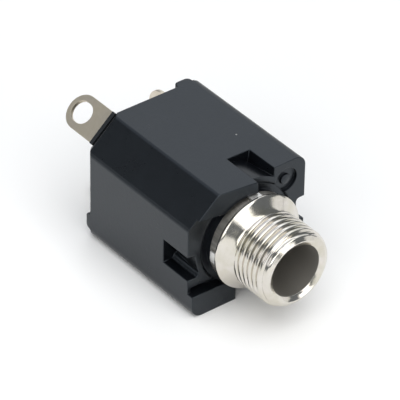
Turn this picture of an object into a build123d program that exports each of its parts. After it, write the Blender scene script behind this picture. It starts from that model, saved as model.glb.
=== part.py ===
"""Closed-body 6.35 mm stereo jack socket with a threaded metal nose and flat solder tags.

Frame: the plug axis is Y and the plug goes in towards +Y, X is to the right seen from the front, Z is up.
The origin is where the plug axis crosses the front face of the moulded body. Lengths are in millimetres.
"""

import os
from math import atan2, cos, degrees, hypot, radians, sin

from build123d import *

# Moulded body
body_width = 16.4
body_height = 14.95
axis_offset = 0.225  # of the plug axis above the middle of the height
body_length = 18.9
wall = 1.0
cut_across = 3.85  # width of the two cut corners
cut_up = 3.4  # height of the two cut corners
square_corner_radius = 1.4
cut_corner_radius = 0.75
front_end_thickness = 5.2

# Round recess for the bush, and the seat in it
recess_radius = 6.15
recess_depth = 1.0
seat_radius = 5.4
seat_height = 0.42

# Windows in the four walls, open at the front, over a round tongue
window_width = 3.1
window_length = 4.4
tongue_radius = 7.1
window_corner_radius = 0.5  # where a side window's ends meet the tongue
top_window_x = 2.15
bottom_window_x = -0.5
left_window_z = -1.42
right_window_z = 0.02

# Forms moulded on the front face
brow_height = 0.4
brow_bottom = 4.85
lip_height = 0.9
lip_thickness = 2.95
slit_width = 0.6
slit_depth = 1.0
slit_length = 4.4
slit_end_wall = 0.45
dimple_x = 5.45
dimple_z = 4.88
dimple_radius = 1.5
dimple_depth = 0.4
dimple_pin_radius = 0.65
dimple_pin_height = 0.3

# Relief on the rear edges of the left wall and of the cut corner above it
side_relief_length = 1.0
side_relief_depth = 0.8
cut_relief_length = 0.6
cut_relief_depth = 0.5

# Feet on the rear ends of the top wall and, in its relief, of the left wall
foot_length = 0.8
foot_width = 2.15
foot_setback = 1.2  # from the outer face of the next wall
foot_corner_radius = 0.6

# Rear cover
cover_thickness = 1.6
cover_rebate = 0.35
cover_clearance = 0.05
plug_exit_radius = 4.1
guide_height = 0.5
guide_setback = 0.3  # from the body's outer face
guide_margin = 0.05  # each side of the tag
tag_clearance = 0.08
leaf_notch_depth = 5.7  # from the plug axis
leaf_notch_margin = 0.3

# Ribs in the body beside each terminal
rib_thickness = 0.7
rib_height = 1.3
rib_clearance = 0.1
rib_start = 6.3
rib_end = 14.0

# Metal bush with a 3/8 inch thread, bored for a 6.35 mm plug
bore_radius = 3.25
lead_in_width = 0.65
lead_in_depth = 0.35
nose_length = 8.95
nose_chamfer = 0.5
thread_radius = 4.76
thread_start = 3.35  # from the body's front face
thread_pitch = 25.4 / 32
thread_depth = 0.42
thread_land = 0.1  # width of the flat at each crest and each root
relief_radius = 4.4
relief_length = 0.25
collar_radius = 5.88
collar_front = 2.05
collar_rear = 1.72
collar_edge = 0.08
neck_hollow = 0.12
flange_radius = 5.55
lug_width = 1.3
lug_length = 0.9
lug_count = 4
shank_radius = 4.95
shank_clearance = 0.03
rivet_radius = 4.35
rivet_head_radius = 4.8
rivet_head_height = 0.45

# Stamped terminals
strip_thickness = 0.5
strip_width = 3.0
strip_setback = 1.6  # from the body's outer face to the middle of the strip
tag_width = 4.33
tag_reach = 5.05  # from the body's rear face to the middle of the eye
tag_start = 0.3  # behind the rear cover's front face
eye_width = 2.6
eye_length = 3.1
bend_share = 0.45  # of the room between the eyelet and the strip, taken by the bend
eyelet_radius = 5.35
eyelet_clearance = 0.05

# Open knuckles on the tip and ring terminals, and the contact leaves hooked into them
knuckle_radius = 0.5
knuckle_wrap = 200  # degrees
knuckle_clearance = 0.05
leaf_thickness = 0.3
leaf_width = 2.6
leaf_bend_radius = 0.8
leaf_tail_length = 1.3
leaf_tail_rise = 1.25

# Where the leaves turn and where they touch the plug, behind the body's front face
tip_knuckle_y = 8.2
tip_touch_y = 16.6
ring_knuckle_y = 7.2
ring_touch_y = 11.9

# Distance of each leaf from the plug axis with no plug in
tip_rest = 2.1
ring_rest = 2.5

# Sideways shift of each contact along its wall
tip_shift = -0.36
ring_shift = -0.85
sleeve_shift = 0.85

half_width = body_width / 2
top_z = body_height / 2 - axis_offset
bottom_z = -body_height / 2 - axis_offset
cut_length = hypot(cut_across, cut_up)
cut_distance = (half_width * cut_up + top_z * cut_across - cut_across * cut_up) / cut_length
cover_front = body_length - cover_thickness
lip_top = bottom_z + lip_thickness
eye_y = body_length + tag_reach
tag_front = cover_front + tag_start
slot_start = strip_setback - strip_thickness / 2 - tag_clearance
knuckle_bend = knuckle_radius + strip_thickness / 2

# Direction from the plug axis to each contact, seen from the front, and the distance to its wall's outer face
tip_side = 90 + degrees(atan2(cut_up, cut_across))
ring_side = 0
sleeve_side = -90
contacts = (
    (tip_side, cut_distance, tip_shift),
    (ring_side, half_width, ring_shift),
    (sleeve_side, -bottom_z, sleeve_shift),
)


def across(y):
    """Plane square to the plug axis at y: X to the right and Z up. Its normal points to the front."""
    return Plane.XZ.offset(-y)


def side_plane(side, shift):
    """Plane through a contact's middle: local x runs to the rear, local y away from the plug axis."""
    sideways = Vector(sin(radians(side)), 0, -cos(radians(side)))
    return Plane(origin=sideways * shift, x_dir=(0, 1, 0), z_dir=sideways)


def flat_plane(side, shift, distance):
    """Plane of a contact's strip at a distance from the plug axis: local x runs to the rear."""
    outward = Vector(cos(radians(side)), 0, sin(radians(side)))
    origin = side_plane(side, shift).origin + outward * distance
    return Plane(origin=origin, x_dir=(0, 1, 0), z_dir=outward)


def draw_body_outline(inset=0.0):
    """Draw the body's outline: a rectangle with two opposite corners cut off."""
    with BuildLine() as outline:
        Polyline(
            (-half_width, bottom_z),
            (-half_width, top_z - cut_up),
            (-half_width + cut_across, top_z),
            (half_width, top_z),
            (half_width, bottom_z + cut_up),
            (half_width - cut_across, bottom_z),
            close=True,
        )
    make_face(outline.edges())
    by_diagonal = vertices().sort_by(Axis((0, 0, 0), (1, 1, 0)))
    fillet([by_diagonal[0], by_diagonal[-1]], square_corner_radius)
    cut_corners = vertices().sort_by(Axis((0, 0, 0), (1, 1, 0)))[2:-2]
    fillet(cut_corners, cut_corner_radius)
    if inset:
        offset(amount=-inset)


with BuildPart() as housing:
    with BuildSketch(across(0)):
        draw_body_outline()
    extrude(amount=-body_length)

    # Brow beside the cut corner, from the recess out to the walls
    with BuildSketch(across(0)):
        draw_body_outline()
        with Locations((top_window_x - window_width / 2, brow_bottom)):
            Rectangle(body_width, body_height, align=(Align.MAX, Align.MIN), mode=Mode.INTERSECT)
        Circle(recess_radius, mode=Mode.SUBTRACT)
    extrude(amount=brow_height)

    # Lip along the bottom wall
    with BuildSketch(across(0)):
        draw_body_outline()
        with Locations((bottom_window_x - window_width / 2, lip_top)):
            Rectangle(body_width, body_height, align=(Align.MAX, Align.MAX), mode=Mode.INTERSECT)
        Circle(recess_radius, mode=Mode.SUBTRACT)
    extrude(amount=lip_height)

    # Slit over the lip
    with BuildSketch(across(0)):
        with Locations((slit_end_wall - half_width, lip_top)):
            Rectangle(slit_length, slit_width, align=(Align.MIN, Align.MIN))
    extrude(amount=-slit_depth, mode=Mode.SUBTRACT)

    # Round recess with the bush's seat standing in it
    with BuildSketch(across(0)):
        Circle(recess_radius)
    extrude(amount=-recess_depth, mode=Mode.SUBTRACT)
    with BuildSketch(across(recess_depth)):
        Circle(seat_radius)
    extrude(amount=recess_depth + seat_height)

    # Windows over the tongues
    with BuildSketch(across(-lip_height)):
        with Locations((top_window_x, body_height), (bottom_window_x, -body_height)):
            Rectangle(window_width, body_height * 2)
        with Locations((-body_width, left_window_z), (body_width, right_window_z)):
            Rectangle(body_width * 2, window_width)
        Circle(tongue_radius, mode=Mode.SUBTRACT)
        on_tongue = vertices().filter_by(lambda corner: corner.center().length < tongue_radius + 0.01)
        fillet(on_tongue.filter_by(lambda corner: abs(corner.Y) < window_width), window_corner_radius)
    extrude(amount=-window_length - lip_height, mode=Mode.SUBTRACT)

    # Moulding dimple with its pin
    with BuildSketch(across(0)):
        with Locations((dimple_x, dimple_z)):
            Circle(dimple_radius)
    extrude(amount=-dimple_depth, mode=Mode.SUBTRACT)
    with BuildSketch(across(dimple_depth)):
        with Locations((dimple_x, dimple_z)):
            Circle(dimple_pin_radius)
    extrude(amount=dimple_pin_height)

    # Bore for the bush's shank, and the inside behind it, rebated for the rear cover
    with BuildSketch(across(-seat_height)):
        Circle(shank_radius + shank_clearance)
    extrude(amount=-seat_height - front_end_thickness, mode=Mode.SUBTRACT)
    with BuildSketch(across(front_end_thickness)):
        draw_body_outline(wall)
    extrude(amount=front_end_thickness - body_length, mode=Mode.SUBTRACT)
    with BuildSketch(across(cover_front)):
        draw_body_outline(wall - cover_rebate)
    extrude(amount=-cover_thickness, mode=Mode.SUBTRACT)

    # Ribs that hold the terminals sideways
    for side, distance, shift in contacts:
        for direction in (-1, 1):
            rib_shift = shift + direction * (strip_width / 2 + rib_clearance + rib_thickness / 2)
            with BuildSketch(side_plane(side, rib_shift)):
                with Locations((rib_start, distance - wall - rib_height)):
                    Rectangle(rib_end - rib_start, rib_height + wall / 2, align=Align.MIN)
            extrude(amount=rib_thickness / 2, both=True)

    # Relief on the rear edges
    reliefs = (
        (180, half_width, side_relief_length, side_relief_depth),
        (tip_side, cut_distance, cut_relief_length, cut_relief_depth),
    )
    for side, distance, length, depth in reliefs:
        with BuildSketch(side_plane(side, 0)):
            with BuildLine(Location((body_length, distance))):
                Polyline((0, 0), (-length, 0), (0, -depth), close=True)
            make_face()
        extrude(amount=body_height, both=True, mode=Mode.SUBTRACT)

    # Rear feet, flush with the outer faces
    with BuildSketch(Plane.XY.offset(top_z)):
        with Locations((half_width - foot_setback, body_length)):
            Rectangle(foot_width, foot_length, align=(Align.MAX, Align.MIN))
        fillet(vertices().group_by(Axis.Y)[-1], foot_corner_radius)
    extrude(amount=cover_rebate - wall)
    with BuildSketch(Plane.YZ.offset(-half_width)):
        with Locations((body_length - side_relief_length, bottom_z + foot_setback)):
            Rectangle(foot_length, foot_width, align=(Align.MIN, Align.MIN))
        fillet(vertices().group_by(Axis.X)[-1], foot_corner_radius)
    extrude(amount=wall - cover_rebate)

with BuildPart() as bush:
    rivet_y = front_end_thickness + strip_thickness
    with BuildSketch(Plane.XY):
        with BuildLine():
            nose = Polyline(
                (bore_radius, -nose_length + lead_in_depth),
                (bore_radius + lead_in_width, -nose_length),
                (thread_radius - nose_chamfer, -nose_length),
                (thread_radius, -nose_length + nose_chamfer),
                (thread_radius, -thread_start),
                (relief_radius, -thread_start),
                (relief_radius, -thread_start + relief_length),
            )
            hollow = SagittaArc(nose @ 1, (collar_radius - collar_edge, -collar_front), -neck_hollow)
            Polyline(
                hollow @ 1,
                (collar_radius, -collar_front + collar_edge),
                (collar_radius, -collar_rear),
                (flange_radius, -collar_rear),
                (flange_radius, -seat_height),
                (shank_radius, -seat_height),
                (shank_radius, front_end_thickness),
                (rivet_radius, front_end_thickness),
                (rivet_radius, rivet_y),
                (rivet_head_radius, rivet_y),
                (rivet_radius, rivet_y + rivet_head_height),
                (bore_radius, rivet_y + rivet_head_height),
                nose @ 0,
            )
        make_face()

        # Thread, as rings at its pitch
        thread_length = nose_length - nose_chamfer - thread_start
        groove_width = thread_pitch - thread_land
        with Locations((thread_radius, -thread_start - thread_length / 2)):
            with GridLocations(0, thread_pitch, 1, int(thread_length / thread_pitch)):
                Polygon(
                    (0, -groove_width / 2),
                    (-thread_depth, -thread_land / 2),
                    (-thread_depth, thread_land / 2),
                    (0, groove_width / 2),
                    align=None,
                    mode=Mode.SUBTRACT,
                )
    revolve(axis=Axis.Y)

    # Lugs behind the collar
    with BuildSketch(across(-collar_rear)):
        with PolarLocations(collar_radius / 2, lug_count):
            Rectangle(collar_radius, lug_width)
        Circle(collar_radius, mode=Mode.INTERSECT)
        Circle(shank_radius, mode=Mode.SUBTRACT)
    extrude(amount=-lug_length)

with BuildPart() as rear_cover:
    with BuildSketch(across(cover_front)):
        draw_body_outline(wall - cover_rebate + cover_clearance)
        Circle(plug_exit_radius, mode=Mode.SUBTRACT)
    extrude(amount=-cover_thickness)

    # Notch for the moving end of the tip leaf
    with BuildSketch(side_plane(tip_side, tip_shift)):
        with Locations((cover_front, 0)):
            Rectangle(cover_thickness, leaf_notch_depth, align=Align.MIN)
    extrude(amount=leaf_width / 2 + leaf_notch_margin, both=True, mode=Mode.SUBTRACT)

    # Slot for each tag, and a guide block along its outer side
    for side, distance, shift in contacts:
        with BuildSketch(side_plane(side, shift)):
            with Locations((cover_front, distance - slot_start)):
                Rectangle(cover_thickness, strip_thickness + 2 * tag_clearance, align=(Align.MIN, Align.MAX))
        extrude(amount=tag_width / 2 + tag_clearance, both=True, mode=Mode.SUBTRACT)
        with BuildSketch(side_plane(side, shift)):
            with Locations((body_length, distance - guide_setback)):
                Rectangle(guide_height, slot_start - guide_setback, align=(Align.MIN, Align.MAX))
        extrude(amount=tag_width / 2 + guide_margin, both=True)


def draw_tag():
    """Draw a solder tag with a round end and a slotted eye, along local x."""
    with Locations((tag_front, 0)):
        Rectangle(eye_y - tag_front, tag_width, align=(Align.MIN, Align.CENTER))
    with Locations((eye_y, 0)):
        Circle(tag_width / 2)
        SlotOverall(eye_length, eye_width, mode=Mode.SUBTRACT)


def make_terminal(side, distance, shift, knuckle_y):
    """A flat strip with a solder tag at the rear and an open knuckle curled inwards at the front."""
    middle = distance - strip_setback
    with BuildPart() as terminal:
        with BuildSketch(side_plane(side, shift)):
            with BuildLine():
                Line((tag_front, middle), (knuckle_y, middle))
                CenterArc((knuckle_y, middle - knuckle_bend), knuckle_bend, 90, knuckle_wrap)
            trace(line_width=strip_thickness)
        extrude(amount=strip_width / 2, both=True)
        with BuildSketch(flat_plane(side, shift, middle)):
            draw_tag()
        extrude(amount=strip_thickness / 2, both=True)
    return terminal


def make_leaf(side, distance, shift, knuckle_y, touch_y, rest):
    """A contact leaf: a bead in the knuckle, a blade that leans to the plug axis, and a turned-out tail."""
    pivot = (knuckle_y, distance - strip_setback - knuckle_bend)
    with BuildPart() as leaf:
        with BuildSketch(side_plane(side, shift)):
            with BuildLine():
                FilletPolyline(
                    pivot,
                    (touch_y, rest),
                    (touch_y + leaf_tail_length, rest + leaf_tail_rise),
                    radius=leaf_bend_radius,
                )
            trace(line_width=leaf_thickness)
            with Locations(pivot):
                Circle(knuckle_radius - knuckle_clearance)
        extrude(amount=leaf_width / 2, both=True)
    return leaf


tip_terminal = make_terminal(tip_side, cut_distance, tip_shift, tip_knuckle_y)
ring_terminal = make_terminal(ring_side, half_width, ring_shift, ring_knuckle_y)
tip_spring = make_leaf(tip_side, cut_distance, tip_shift, tip_knuckle_y, tip_touch_y, tip_rest)
ring_spring = make_leaf(ring_side, half_width, ring_shift, ring_knuckle_y, ring_touch_y, ring_rest)

with BuildPart() as sleeve_terminal:
    middle = -bottom_z - strip_setback
    eyelet_hole = rivet_radius + eyelet_clearance
    eyelet_y = front_end_thickness + strip_thickness / 2
    tab_start = (3 * eyelet_hole + eyelet_radius) / 4

    # Eyelet riveted on the bush
    with BuildSketch(across(front_end_thickness)):
        Circle(eyelet_radius)
        Circle(eyelet_hole, mode=Mode.SUBTRACT)
    extrude(amount=-strip_thickness)

    # Tab bent into the strip along the bottom wall
    with BuildSketch(side_plane(sleeve_side, sleeve_shift)):
        with BuildLine():
            FilletPolyline(
                (eyelet_y, tab_start),
                (eyelet_y, middle),
                (tag_front, middle),
                radius=bend_share * (middle - tab_start),
            )
        trace(line_width=strip_thickness)
    extrude(amount=strip_width / 2, both=True)
    with BuildSketch(flat_plane(sleeve_side, sleeve_shift, middle)):
        draw_tag()
    extrude(amount=strip_thickness / 2, both=True)

pieces = {
    "housing": housing,
    "bush": bush,
    "rear_cover": rear_cover,
    "tip_terminal": tip_terminal,
    "ring_terminal": ring_terminal,
    "sleeve_terminal": sleeve_terminal,
    "tip_spring": tip_spring,
    "ring_spring": ring_spring,
}

os.makedirs("parts", exist_ok=True)
for name, piece in pieces.items():
    piece.part.label = name
    export_step(piece.part, f"parts/{name}.step")
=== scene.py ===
import math

import bmesh
import bpy
import numpy as np
from mathutils import Matrix, Vector
from mathutils.bvhtree import BVHTree


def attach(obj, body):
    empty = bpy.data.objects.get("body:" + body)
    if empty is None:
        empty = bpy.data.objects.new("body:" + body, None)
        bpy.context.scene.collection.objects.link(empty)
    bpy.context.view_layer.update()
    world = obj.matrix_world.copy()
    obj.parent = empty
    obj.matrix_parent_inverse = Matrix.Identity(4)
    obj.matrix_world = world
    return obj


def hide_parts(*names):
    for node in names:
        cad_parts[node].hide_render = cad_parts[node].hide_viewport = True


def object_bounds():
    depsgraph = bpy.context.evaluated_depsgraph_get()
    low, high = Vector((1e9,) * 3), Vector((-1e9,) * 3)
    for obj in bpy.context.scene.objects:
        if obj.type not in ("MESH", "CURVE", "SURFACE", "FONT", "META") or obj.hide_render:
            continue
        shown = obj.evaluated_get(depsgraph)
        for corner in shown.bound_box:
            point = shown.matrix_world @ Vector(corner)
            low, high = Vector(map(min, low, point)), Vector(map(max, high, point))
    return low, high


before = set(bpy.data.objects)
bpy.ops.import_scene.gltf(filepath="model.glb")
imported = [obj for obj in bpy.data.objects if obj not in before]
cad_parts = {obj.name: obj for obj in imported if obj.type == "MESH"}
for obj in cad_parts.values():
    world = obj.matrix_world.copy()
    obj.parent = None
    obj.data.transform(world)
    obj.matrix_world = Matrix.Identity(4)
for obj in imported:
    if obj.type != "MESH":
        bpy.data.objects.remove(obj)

cad_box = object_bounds()
collection = bpy.context.scene.collection
MM = 0.001

# Sizes are in millimetres. The plug axis is Y, and y = 0 is the front face of the moulded body.
# Housing, as in the construction
RECESS_RADIUS = 6.15
RECESS_DEPTH = 1.0
SEAT_RADIUS = 5.4
SEAT_HEIGHT = 0.42
BROW_HEIGHT = 0.4
BROW_BOTTOM = 4.85
TONGUE_RADIUS = 7.1
WINDOW_WIDTH = 3.1
TOP_WINDOW_X = 2.15
LEFT_WINDOW_Z = -1.42
CUT_NORMAL = (-0.66, 0.75)  # x and z of the way that the upper cut corner faces
CUT_DISTANCE = 8.3  # of the cut corner's face from the plug axis

# Box round the closed inside of the housing, which ends in front of the rear cover
INSIDE_FRONT = 4.8
INSIDE_REAR = 17.0
INSIDE_HALF_WIDTH = 7.2
INSIDE_BOTTOM = -6.9
INSIDE_TOP = 6.6

# Where the housing's moulding follows the photo more closely than the construction
RECESS_FLOOR = 0.3  # depth of the recess
BROW_RADIUS = 5.95  # of its inner edge
BROW_LEAN = 0.2  # forward, for each millimetre in from the cut corner's face
WINDOW_SINK = 0.42  # of the window floors' rear ends

# Bush. BORE, THREAD, COLLAR, FLANGE, SHANK, RIVET and RIVET_HEAD are radii
BORE = 3.25
NOSE = 8.95  # length in front of the body
THREAD = 4.76
THREAD_DEPTH = 0.34
PITCH = 25.4 / 32
THREAD_END = 3.4  # in front of the body, as for the collar's two faces
THREAD_PHASE = 0.33  # where the thread starts, as a share of a turn
COLLAR = 5.88
COLLAR_FRONT = 2.05
COLLAR_REAR = 1.72
FLANGE = 5.5
LUG_COUNT = 4
LUG_WIDTH = 1.5
LUG_WIDTH_RADIUS = 5.81  # where a lug's width is measured
LUG_LENGTH = 0.9
LUG_RADIUS = COLLAR - 0.03
SHANK = 4.95
SHANK_END = 5.2
STRIP_THICKNESS = 0.5
RIVET = 4.35
RIVET_HEAD = 4.78
RIVET_HEAD_HEIGHT = 0.45


# Shader nodes
class Nodes:
    """A short way to write the node tree of a material with a Principled shader."""

    def __init__(self, material):
        self.tree = material.node_tree
        self.shader = self.tree.nodes["Principled BSDF"]

    def feed(self, socket, value):
        """Link an input to the output that it is given, or set it to a plain value."""
        if isinstance(value, bpy.types.NodeSocket):
            self.tree.links.new(value, socket)
        else:
            socket.default_value = value

    def shade(self, inputs):
        for name, value in inputs.items():
            self.feed(self.shader.inputs[name], value)

    def add(self, kind, inputs=None, **settings):
        node = self.tree.nodes.new(kind)
        for name, value in settings.items():
            setattr(node, name, value)
        for name, value in (inputs or {}).items():
            self.feed(node.inputs[name], value)
        return node

    def place(self):
        """The point of the object that is shaded, in metres."""
        return self.add("ShaderNodeTexCoord").outputs["Object"]

    def stretch(self, vector, scale):
        return self.add("ShaderNodeMapping", {"Vector": vector, "Scale": scale}).outputs["Vector"]

    def noise(self, vector, scale, detail=2.0, rough=0.5, distortion=0.0):
        node = self.add("ShaderNodeTexNoise", {"Vector": vector, "Scale": scale, "Detail": detail,
                                               "Roughness": rough, "Distortion": distortion})
        return node.outputs["Fac"]

    def map(self, value, span, to_span):
        node = self.add("ShaderNodeMapRange", {"Value": value, "From Min": span[0], "From Max": span[1],
                                               "To Min": to_span[0], "To Max": to_span[1]})
        return node.outputs["Result"]

    def mix(self, factor, a, b):
        """Colour a where the factor is 0, and colour b where it is 1."""
        node = self.add("ShaderNodeMix", {0: factor}, data_type="RGBA")
        colour_inputs = node.inputs[6:8]
        for socket, colour in zip(colour_inputs, (a, b)):
            self.feed(socket, colour)
        colour_output = node.outputs[2]
        return colour_output

    def bump(self, height, strength, distance):
        node = self.add("ShaderNodeBump", {"Height": height, "Strength": strength, "Distance": distance})
        return node.outputs["Normal"]

    def math(self, operation, a, b=0.0):
        return self.add("ShaderNodeMath", {0: a, 1: b}, operation=operation).outputs[0]

    def plus(self, a, b):
        return self.math("ADD", a, b)

    def times(self, a, b):
        return self.math("MULTIPLY", a, b)

    def larger(self, a, b):
        return self.math("MAXIMUM", a, b)

    def below(self, value, limit):
        return self.math("LESS_THAN", value, limit)

    def above(self, value, limit):
        return self.math("GREATER_THAN", value, limit)

    def within(self, value, middle, reach):
        """1 where the value is less than the reach from the middle, and 0 elsewhere."""
        return self.below(self.math("ABSOLUTE", self.math("SUBTRACT", value, middle)), reach)

    def about_plug_axis(self, place):
        """The point's x, y and z, and its distance from the plug axis."""
        parts = self.add("ShaderNodeSeparateXYZ", {"Vector": place}).outputs
        x, y, z = (parts[axis] for axis in "XYZ")
        return x, y, z, self.math("SQRT", self.plus(self.times(x, x), self.times(z, z)))


def new_material(name):
    material = bpy.data.materials.new(name)
    material.use_nodes = True
    return material, Nodes(material)


def scaled(colour, red, green, blue):
    """A colour with its three channels scaled, and full alpha."""
    return (colour[0] * red, colour[1] * green, colour[2] * blue, 1)


# Materials
NOISE_SPAN = (0.3, 0.7)  # where most of a noise's values lie
UNIT_SPAN = (0, 1)
# Painted reflection colour: a bluish tint on the plastic's reflections stands in for bluish sky light
PAINTED_SKY_TINT = (0.77, 0.885, 1.0, 1)
DUST_GREY = (0.3, 0.3, 0.29, 1)
# The bore's grey: partly its machined finish, partly painted shade in the bore
BORE_FINISH_AND_SHADE_GREY = (0.47, 0.452, 0.42, 1)
# Painted highlight on the lugs
LUG_HIGHLIGHT_WHITE = (0.93, 0.92, 0.89, 1)
# Painted shade on the flange and shank behind the collar, streaked
FLANGE_SHADE_DARK = (0.38, 0.365, 0.335, 1)
FLANGE_SHADE_LIGHT = (0.54, 0.52, 0.48, 1)


def window_floor_shade(nodes, place):
    """1 on the sunk floors of the top window and the left window, where painted shade goes, and 0 elsewhere.
    """
    x, y, z, radius = nodes.about_plug_axis(place)
    reach = (WINDOW_WIDTH / 2 + 0.01) * MM
    off_axis = 5 * MM
    in_top = nodes.times(nodes.within(x, TOP_WINDOW_X * MM, reach), nodes.above(z, off_axis))
    in_left = nodes.times(nodes.within(z, LEFT_WINDOW_Z * MM, reach), nodes.below(x, -off_axis))
    low = nodes.below(radius, (TONGUE_RADIUS + 0.03) * MM)
    behind_front = nodes.above(y, 0.15 * MM)
    return nodes.times(nodes.times(low, nodes.larger(in_top, in_left)), behind_front)


def black_plastic(name, base, roughness, grain, dust, shade_windows=False):
    """Moulded black plastic: fine spark-eroded grain, slow flow marks and a little dust, with a painted
    bluish tint in its reflections, and painted shade on the window floors when asked for.
    """
    material, nodes = new_material(name)
    place = nodes.place()
    flow = nodes.noise(place, scale=260, detail=3, rough=0.55, distortion=0.6)
    fine = nodes.noise(place, scale=9000, detail=2, rough=0.6)
    medium = nodes.noise(place, scale=2200, detail=3, rough=0.6)
    darker = scaled(base, 0.8, 0.8, 0.8)
    lighter = scaled(base, 1.2, 1.2, 1.2)
    plain = nodes.mix(nodes.map(flow, NOISE_SPAN, UNIT_SPAN), darker, lighter)

    specks = nodes.add("ShaderNodeTexVoronoi", {"Vector": place, "Scale": 400.0, "Randomness": 1.0})
    kept = nodes.below(nodes.noise(specks.outputs["Position"], scale=730, detail=0), dust)
    speck = nodes.times(kept, nodes.below(specks.outputs["Distance"], 0.04))

    worn = nodes.plus(nodes.times(medium, 0.6), nodes.times(flow, 0.4))
    height = nodes.plus(nodes.times(fine, grain), nodes.times(medium, 1.3 * grain))
    nodes.shade({
        "IOR": 1.5,
        # Painted reflection: the bluish tint on the plastic's reflections
        "Specular Tint": PAINTED_SKY_TINT,
        "Base Color": nodes.mix(speck, plain, DUST_GREY),
        "Roughness": nodes.map(worn, NOISE_SPAN, (0.88 * roughness, 1.14 * roughness)),
        "Normal": nodes.bump(height, strength=0.5, distance=0.02 * MM),
    })
    # Painted shade: the window floors reflect less, so they look darker, as if in shade
    if shade_windows:
        nodes.shade({"Specular IOR Level": nodes.map(window_floor_shade(nodes, place), UNIT_SPAN, (0.5, 0.36))})
    return material


def bush_marks_and_painted_light(nodes, place, colour, rough):
    """The bush's colour and roughness, with painted light: rougher and darker in the bore, partly its
    machined finish and partly painted shade; a painted highlight on the lugs; and painted shade, streaked,
    behind the collar.
    """
    _, y, _, radius = nodes.about_plug_axis(place)
    past_collar = nodes.above(y, (0.03 - COLLAR_REAR) * MM)
    in_shaded_bore = nodes.below(radius, (BORE + 0.02) * MM)
    lug_highlight = nodes.times(past_collar, nodes.above(radius, (COLLAR - 0.2) * MM))
    flange_shade = nodes.times(past_collar, nodes.below(radius, (COLLAR - 0.25) * MM))
    streaks = nodes.noise(nodes.stretch(place, (1.0, 0.12, 1.0)), scale=2600, detail=2, rough=0.6)
    streaked_shade = nodes.mix(nodes.map(streaks, (0.35, 0.65), UNIT_SPAN), FLANGE_SHADE_DARK, FLANGE_SHADE_LIGHT)
    # Painted light: shade in the bore (with its rougher machined finish), a highlight on the lugs, and shade
    # on the flange
    for area, least_rough, area_colour in (
        (in_shaded_bore, 0.55, BORE_FINISH_AND_SHADE_GREY),
        (lug_highlight, 0.42, LUG_HIGHLIGHT_WHITE),
        (flange_shade, 0.5, streaked_shade),
    ):
        colour = nodes.mix(area, colour, area_colour)
        rough = nodes.larger(rough, nodes.times(area, least_rough))
    return colour, rough


def plated_metal(name, base, roughness, grooves, groove_roughness, marks_and_painted_light=None):
    """Plated metal: faint lines left by turning or rolling, and thin stains."""
    material, nodes = new_material(name)
    place = nodes.place()
    lines = nodes.noise(nodes.stretch(place, grooves), scale=3500, detail=3, rough=0.6)
    cloud = nodes.noise(place, scale=420, detail=4, rough=0.6, distortion=0.4)
    colour = nodes.mix(nodes.map(cloud, (0.35, 0.7), UNIT_SPAN), base + (1,), scaled(base, 0.84, 0.84, 0.76))
    rough = nodes.plus(nodes.map(cloud, NOISE_SPAN, (0.75 * roughness, 1.3 * roughness)),
                   nodes.map(lines, NOISE_SPAN, (0, groove_roughness)))
    # The bush's painted highlight and painted shade come in here
    if marks_and_painted_light:
        colour, rough = marks_and_painted_light(nodes, place, colour, rough)
    nodes.shade({
        "Metallic": 1.0,
        "Base Color": colour,
        "Roughness": rough,
        "Normal": nodes.bump(lines, strength=0.35, distance=0.006 * MM),
    })
    return material


# How often fine lines come along x, y and z: rings round the plug axis, or lines along it
TURNED = (1.0, 14.0, 1.0)
ROLLED = (9.0, 0.7, 9.0)
finishes = {
    "body_plastic": black_plastic("body_plastic", (0.0025, 0.003, 0.0042), 0.3, grain=0.5, dust=0.46,
                                  shade_windows=True),
    "cover_plastic": black_plastic("cover_plastic", (0.010, 0.0104, 0.011), 0.42, grain=0.7, dust=0.2),
    "nickel_plate": plated_metal("nickel_plate", (0.72, 0.685, 0.64), 0.1, TURNED, 0.04, bush_marks_and_painted_light),
    "tinned_brass": plated_metal("tinned_brass", (0.72, 0.65, 0.55), 0.34, ROLLED, 0.12),
    "spring_bronze": plated_metal("spring_bronze", (0.74, 0.62, 0.44), 0.26, ROLLED, 0.1),
}


# Pieces
def add_piece(name, mesh, body, slot, node):
    """A piece of the scene that rides on a body and stands for a CAD node."""
    piece = bpy.data.objects.new(name, mesh)
    collection.objects.link(piece)
    mesh.materials.clear()
    mesh.materials.append(finishes[slot])
    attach(piece, body)
    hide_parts(node)
    return piece


def smooth(mesh, sharp_angle):
    """Smooth shading, apart from edges sharper than an angle in degrees."""
    mesh.shade_smooth()
    mesh.set_sharp_from_angle(angle=math.radians(sharp_angle))


def keep_flats_flat(piece):
    """Shading in which large flat faces stay flat beside small rounded edges."""
    modifier = piece.modifiers.new("flat_faces", "WEIGHTED_NORMAL")
    modifier.keep_sharp = True
    modifier.weight = 80
    modifier.thresh = 0.01


# Moulded and stamped pieces, which are the CAD nodes with rounded edges
ROUNDING_STEPS = 2
RIM_STEPS = 4
WELD = 0.0005
FLAT = math.radians(1)
SHARP = math.radians(29)
NEAR = 0.03  # a corner this close to a surface lies on it
MARGIN = 0.1  # round a stretch that is searched for corners
# How far a rounded corner may lie off the plain surface, in roundings, where a rim's counts for a share
REACH_OUT = 0.6
REACH_IN = 1.2
RIM_SHARE = 0.3


def scale_about_plug_axis(co, share):
    co.x *= share
    co.z *= share


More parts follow.
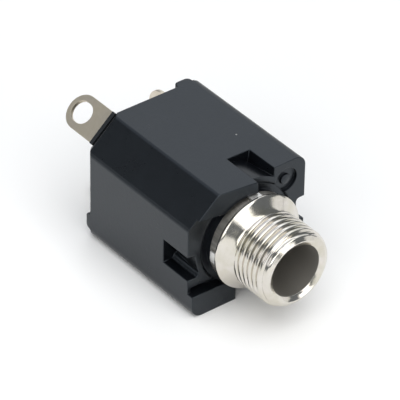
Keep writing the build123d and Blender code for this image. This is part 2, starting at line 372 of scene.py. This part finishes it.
def moulded_front(co):
    """Move a corner of the housing's front for a shallower recess, a leaning brow and sunk window floors."""
    radius = math.hypot(co.x, co.z)
    if abs(co.y - RECESS_DEPTH) < NEAR and SEAT_RADIUS - MARGIN < radius < RECESS_RADIUS + MARGIN:
        co.y = RECESS_FLOOR
    if co.y < MARGIN - BROW_HEIGHT and co.z > BROW_BOTTOM - MARGIN and radius > RECESS_RADIUS - MARGIN:
        if abs(radius - RECESS_RADIUS) < NEAR:
            scale_about_plug_axis(co, BROW_RADIUS / radius)
        co.y -= BROW_LEAN * max(0.0, CUT_DISTANCE - (CUT_NORMAL[0] * co.x + CUT_NORMAL[1] * co.z))
    reach = WINDOW_WIDTH / 2 + MARGIN
    in_top = abs(co.x - TOP_WINDOW_X) < reach and co.z > 0
    in_left = abs(co.z - LEFT_WINDOW_Z) < reach and co.x < 0
    behind_front = co.y > 0.5
    if abs(radius - TONGUE_RADIUS) < NEAR and (in_top or in_left) and behind_front:
        scale_about_plug_axis(co, 1 - WINDOW_SINK / TONGUE_RADIUS)


def recess_rim(edge):
    """Whether an edge lies between the housing's front face and its round recess."""
    return all(abs(math.hypot(v.co.x, v.co.z) - RECESS_RADIUS) < NEAR and abs(v.co.y) < NEAR
               for v in edge.verts)


def inside_housing(edge):
    """Whether an edge lies in the housing's closed inside, where it isn't seen."""
    return all(INSIDE_FRONT < v.co.y < INSIDE_REAR and abs(v.co.x) < INSIDE_HALF_WIDTH
               and INSIDE_BOTTOM < v.co.z < INSIDE_TOP for v in edge.verts)


def nowhere(edge):
    return False


def softened(node, rounding, merged_before=math.inf, move=None,
             rim=nowhere, rim_rounding=0.0, unseen=nowhere):
    """A mesh of a CAD node with its sharp edges rounded.

    Flat faces are merged in front of the y in merged_before, because behind it their many notches would
    tear when rounded. move shifts each corner. rim picks the edges with a rounding of their own, and
    unseen the edges that stay sharp.
    """
    bm = bmesh.new()
    bm.from_mesh(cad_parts[node].data)
    bm.transform(Matrix.Scale(1 / MM, 4))
    bmesh.ops.remove_doubles(bm, verts=bm.verts, dist=WELD)
    merged_verts = [v for v in bm.verts if v.co.y < merged_before]
    merged_edges = [e for e in bm.edges if all(v.co.y < merged_before for v in e.verts)]
    bmesh.ops.dissolve_limit(bm, angle_limit=FLAT, verts=merged_verts, edges=merged_edges)
    if move:
        for vert in bm.verts:
            move(vert.co)
    surface = BVHTree.FromBMesh(bm)
    lowest = [min(v.co[axis] for v in bm.verts) for axis in range(3)]
    highest = [max(v.co[axis] for v in bm.verts) for axis in range(3)]

    def round_edges(wanted, width, steps):
        edges = [e for e in bm.edges if len(e.link_faces) == 2 and e.calc_face_angle(0) > SHARP and wanted(e)]
        bmesh.ops.bevel(bm, geom=edges, offset=width, offset_type="OFFSET", segments=steps, profile=0.5,
                        affect="EDGES", clamp_overlap=False, loop_slide=True)

    round_edges(rim, rim_rounding, RIM_STEPS)
    round_edges(lambda edge: not unseen(edge), rounding, ROUNDING_STEPS)

    # A corner that the rounding put too far off goes back to the surface, and none leaves the node's box
    largest = max(rounding, RIM_SHARE * rim_rounding)
    for vert in bm.verts:
        nearest, normal, _, distance = surface.find_nearest(vert.co)
        outside = (vert.co - nearest).dot(normal) > 0
        if distance > (REACH_OUT if outside else REACH_IN) * largest:
            vert.co = nearest
        vert.co = [min(max(vert.co[axis], lowest[axis]), highest[axis]) for axis in range(3)]
    bmesh.ops.recalc_face_normals(bm, faces=bm.faces)
    bm.transform(Matrix.Scale(MM, 4))
    mesh = bpy.data.meshes.new(node + "_form")
    bm.to_mesh(mesh)
    bm.free()
    smooth(mesh, sharp_angle=32)
    return mesh


housing_form = softened("housing", 0.1, INSIDE_REAR, move=moulded_front,
                        rim=recess_rim, rim_rounding=0.35, unseen=inside_housing)
cover_form = softened("rear_cover", 0.07, INSIDE_REAR)
keep_flats_flat(add_piece("housing_moulding", housing_form, "socket", "body_plastic", "housing"))
keep_flats_flat(add_piece("cover_moulding", cover_form, "socket", "cover_plastic", "rear_cover"))
for node, body, slot in (
    ("tip_terminal", "socket", "tinned_brass"),
    ("ring_terminal", "socket", "tinned_brass"),
    ("sleeve_terminal", "socket", "tinned_brass"),
    ("tip_spring", "tip_leaf", "spring_bronze"),
    ("ring_spring", "ring_leaf", "spring_bronze"),
):
    keep_flats_flat(add_piece(node + "_strip", softened(node, 0.05), body, slot, node))


# Bush. One turn of its rolled 60 degree thread: share of the pitch, and depth below the crest
THREAD_TURN = (
    (0.0, 0.012), (0.03, 0.006), (0.21, 0.0), (0.39, 0.006), (0.42, 0.012), (0.47, 0.035),
    (0.66, THREAD_DEPTH - 0.03), (0.70, THREAD_DEPTH), (0.75, THREAD_DEPTH), (0.79, THREAD_DEPTH - 0.03),
    (0.96, 0.035), (1.0, 0.012),
)
FLANK_MIDDLES = (0.565, 0.875)
NOSE_CHAMFER = (
    (-NOSE + 0.02, BORE + 0.70), (-NOSE + 0.30, THREAD - 0.36), (-NOSE + 0.34, THREAD - 0.33),
    (-NOSE + 0.66, THREAD - 0.31), (-NOSE + 0.70, THREAD - 0.28), (-NOSE + 0.92, THREAD + 0.02),
)
RUN_OUT = ((-THREAD_END - 0.35, THREAD + 0.02), (-THREAD_END, THREAD - THREAD_DEPTH - 0.02))
ROUND_STEPS = 176
LUG_HALF = math.asin(LUG_WIDTH / 2 / LUG_WIDTH_RADIUS)
LUG_FLANK = 0.009  # half the angle that a lug's side takes, in radians


def bush_angles():
    """The angles of a ring's points in radians, evenly round, with two more at each side of a lug."""
    angles = {round(step * 2 * math.pi / ROUND_STEPS, 6) for step in range(ROUND_STEPS + 1)}
    for lug in range(LUG_COUNT):
        for side in (-LUG_HALF, LUG_HALF):
            for flank in (-LUG_FLANK, LUG_FLANK):
                angle = lug * 2 * math.pi / LUG_COUNT + side + flank
                angles.add(round(angle % (2 * math.pi), 6))
    return np.array(sorted(angles))


thetas = bush_angles()
lug_middles = np.arange(LUG_COUNT + 1) * 2 * math.pi / LUG_COUNT
on_lug = np.min(np.abs(thetas[:, None] - lug_middles), axis=1) < LUG_HALF


def between(value, points):
    """The height at a value of the line through points (place, height)."""
    return np.interp(value, *zip(*points))


def thread_radius(y):
    """Radius of the thread round a ring, cut by the nose's chamfer and by the run-out before the collar."""
    phase = (y + NOSE) / PITCH + thetas / (2 * math.pi) + THREAD_PHASE
    thread = THREAD - between(phase % 1.0, THREAD_TURN)
    return np.minimum(thread, np.minimum(between(y, NOSE_CHAMFER), between(y, RUN_OUT)))


def arc(centre_y, centre_r, radius, start, stop, steps):
    """Points (y, r) on an arc of the profile, with angles in degrees from +y towards +r."""
    return [(centre_y + radius * math.cos(math.radians(a)), centre_r + radius * math.sin(math.radians(a)))
            for a in np.linspace(start, stop, steps)]


def nose_end():
    """The lead-in of the bore and the end face."""
    steps = ((0.38, 0.0), (0.35, 0.0), (0.33, 0.02), (0.03, 0.55), (0.008, 0.60), (0.0, 0.64), (0.01, 0.68))
    return [(-NOSE + back, BORE + out) for back, out in steps]


def thread_rows():
    """Rows that follow the helix, held to the ends of the threaded length."""
    shares = sorted([share for share, _ in THREAD_TURN[:-1]] + list(FLANK_MIDDLES))
    last_turn = int((NOSE - THREAD_END) / PITCH) + 2
    rows = []
    for turn in range(-1, last_turn + 1):
        for share in shares:
            y = -NOSE + PITCH * (turn + share - THREAD_PHASE - thetas / (2 * math.pi))
            y = np.clip(y, -NOSE + 0.02, -THREAD_END)
            rows.append((y, thread_radius(y)))
    return rows


def cone_and_collar():
    """The relief behind the thread, the hollow cone, and the collar with its rounded edges."""
    cone = [(-3.28, 4.32), (-3.2, 4.34), (-3.1, 4.41), (-2.95, 4.58), (-2.8, 4.79), (-2.6, 5.08),
            (-2.4, 5.36), (-2.2, 5.64), (-2.1, 5.78)]
    front_edge = 0.11
    rear_edge = 0.04
    return (cone + arc(-COLLAR_FRONT + front_edge, COLLAR - front_edge, front_edge, 145, 90, 5)
            + arc(-COLLAR_REAR - rear_edge, COLLAR - rear_edge, rear_edge, 90, 0, 3))


def flange_and_lugs():
    rear = -COLLAR_REAR + LUG_LENGTH
    rows = [(-COLLAR_REAR, FLANGE)]
    for y, grown in ((-COLLAR_REAR, 1.0), (rear - 0.08, 1.0), (rear - 0.02, 0.75), (rear, 0.0)):
        rows.append((y, np.where(on_lug, FLANGE + (LUG_RADIUS - FLANGE) * grown, FLANGE)))
    return rows + [(-SEAT_HEIGHT - 0.05, FLANGE), (-SEAT_HEIGHT, FLANGE - 0.05)]


def shank():
    """The shank in the housing's front end, and the rivet head on the sleeve terminal."""
    head = SHANK_END + STRIP_THICKNESS
    end = head + RIVET_HEAD_HEIGHT
    return [(-SEAT_HEIGHT, SHANK), (SHANK_END, SHANK), (SHANK_END, RIVET), (head, RIVET),
            (head, RIVET_HEAD), (head + 0.08, RIVET_HEAD), (head + 0.25, RIVET_HEAD - 0.1), (end, RIVET),
            (end, BORE + 0.06), (end - 0.06, BORE)]


def build_bush():
    """The bush, whose closed profile goes from the bore round the nose's end and back to the bore's rear."""
    bm = bmesh.new()
    rings = []
    for y, r in nose_end() + thread_rows() + cone_and_collar() + flange_and_lugs() + shank():
        points = np.stack([r * np.cos(thetas), np.broadcast_to(y, thetas.shape), r * np.sin(thetas)], 1)
        rings.append([bm.verts.new(point * MM) for point in points])
    for lower, upper in zip(rings, rings[1:] + rings[:1]):
        for i in range(len(thetas) - 1):
            bm.faces.new((lower[i], lower[i + 1], upper[i + 1], upper[i]))
    bmesh.ops.remove_doubles(bm, verts=bm.verts, dist=0.002 * MM)
    bmesh.ops.dissolve_degenerate(bm, edges=bm.edges, dist=0.001 * MM)
    bmesh.ops.recalc_face_normals(bm, faces=bm.faces)
    mesh = bpy.data.meshes.new("bush_form")
    bm.to_mesh(mesh)
    bm.free()
    smooth(mesh, sharp_angle=38)
    return mesh


add_piece("bush_turned", build_bush(), "socket", "nickel_plate", "bush")


# Floor and light, in metres
FLOOR_REACH = 1.2
CEILING = 0.5
WARM = (1.0, 0.99, 0.975)
COOL = (0.96, 0.98, 1.0)
COOLER = (0.89, 0.92, 1.0)
WORLD = (0.87, 0.94, 1.0, 1)
WORLD_STRENGTH = 0.185


def add_stage_floor():
    corners = [(x * FLOOR_REACH, y * FLOOR_REACH, cad_box[0].z)
               for x, y in ((-1, -1), (1, -1), (1, 1), (-1, 1))]
    mesh = bpy.data.meshes.new("floor")
    mesh.from_pydata(corners, [], [(0, 1, 2, 3)])
    floor = bpy.data.objects.new("floor", mesh)
    collection.objects.link(floor)
    material, nodes = new_material("floor_paper")
    nodes.shade({"Base Color": (0.95, 0.952, 0.952, 1), "Roughness": 0.9, "Specular IOR Level": 0.1})
    mesh.materials.append(material)


def add_panel(name, place, width, length, radiance, colour):
    """An area light that shines straight down from a place, with a given radiance."""
    data = bpy.data.lights.new(name, "AREA")
    data.shape = "RECTANGLE"
    data.size = width
    data.size_y = length
    data.energy = radiance * math.pi * width * length
    data.color = colour
    light = bpy.data.objects.new(name, data)
    collection.objects.link(light)
    light.location = place
    return light


def add_softbox(name, direction, distance, width, height, radiance, colour):
    """An area light that faces the object from a direction."""
    towards = Vector(direction).normalized()
    light = add_panel(name, towards * distance, width, height, radiance, colour)
    light.rotation_mode = "QUATERNION"
    light.rotation_quaternion = towards.to_track_quat("Z", "Y")


add_stage_floor()
for name, x, y, width, length, radiance, colour in (
    ("front_ceiling", -0.045, -0.8125, 0.59, 1.875, 2.0, WARM),
    ("rear_ceiling", 0.1, 0.3625, 0.7, 0.475, 0.73, COOLER),
):
    add_panel(name, (x, y, CEILING), width, length, radiance, colour)
for name, direction, distance, width, height, radiance, colour in (
    ("rear_right_panel", (0.62, 0.633, 0.46), 0.8, 0.45, 0.6, 0.8, COOL),
    ("front_panel", (0.2, -0.95, 0.17), 1.0, 0.46, 0.34, 2.0, WARM),
    ("rear_left_panel", (-0.70, 0.62, 0.36), 0.8, 0.32, 0.3, 0.9, WARM),
    ("front_left_panel", (-0.80, -0.45, 0.45), 0.8, 0.75, 0.55, 2.1, WARM),
    ("front_low_panel", (-0.17, -0.97, 0.07), 1.0, 0.26, 0.14, 0.8, WARM),
    ("right_low_panel", (0.87, -0.49, 0.12), 1.0, 0.52, 0.27, 0.78, WARM),
):
    add_softbox(name, direction, distance, width, height, radiance, colour)

world = bpy.data.worlds.new("studio")
world.use_nodes = True
background = world.node_tree.nodes["Background"]
background.inputs["Color"].default_value = WORLD
background.inputs["Strength"].default_value = WORLD_STRENGTH
bpy.context.scene.world = world
bpy.context.scene.view_settings.view_transform = "Standard"

# Camera, as fitted to the body and the nose in the photo
PHOTO_WIDTH = 400  # pixels
FOCAL_LENGTH = 3591.1  # pixels
SENSOR_WIDTH = 36  # millimetres
CAMERA_PLACE = Vector((-0.202319, -0.245738, 0.236053))
VIEW_DIRECTION = Vector((0.50369, 0.63255, -0.58856))
IMAGE_RIGHT = Vector((0.78883, -0.61446, 0.01363))


def add_camera():
    data = bpy.data.cameras.new("camera")
    data.sensor_width = SENSOR_WIDTH
    data.lens = FOCAL_LENGTH * SENSOR_WIDTH / PHOTO_WIDTH
    data.clip_start = 0.01
    data.clip_end = 10
    camera = bpy.data.objects.new("camera", data)
    collection.objects.link(camera)
    forward = VIEW_DIRECTION.normalized()
    right = (IMAGE_RIGHT - forward * IMAGE_RIGHT.dot(forward)).normalized()
    turn = Matrix((right, right.cross(forward), -forward)).transposed().to_4x4()
    camera.matrix_world = Matrix.Translation(CAMERA_PLACE) @ turn
    return camera


bpy.context.scene.camera = add_camera()
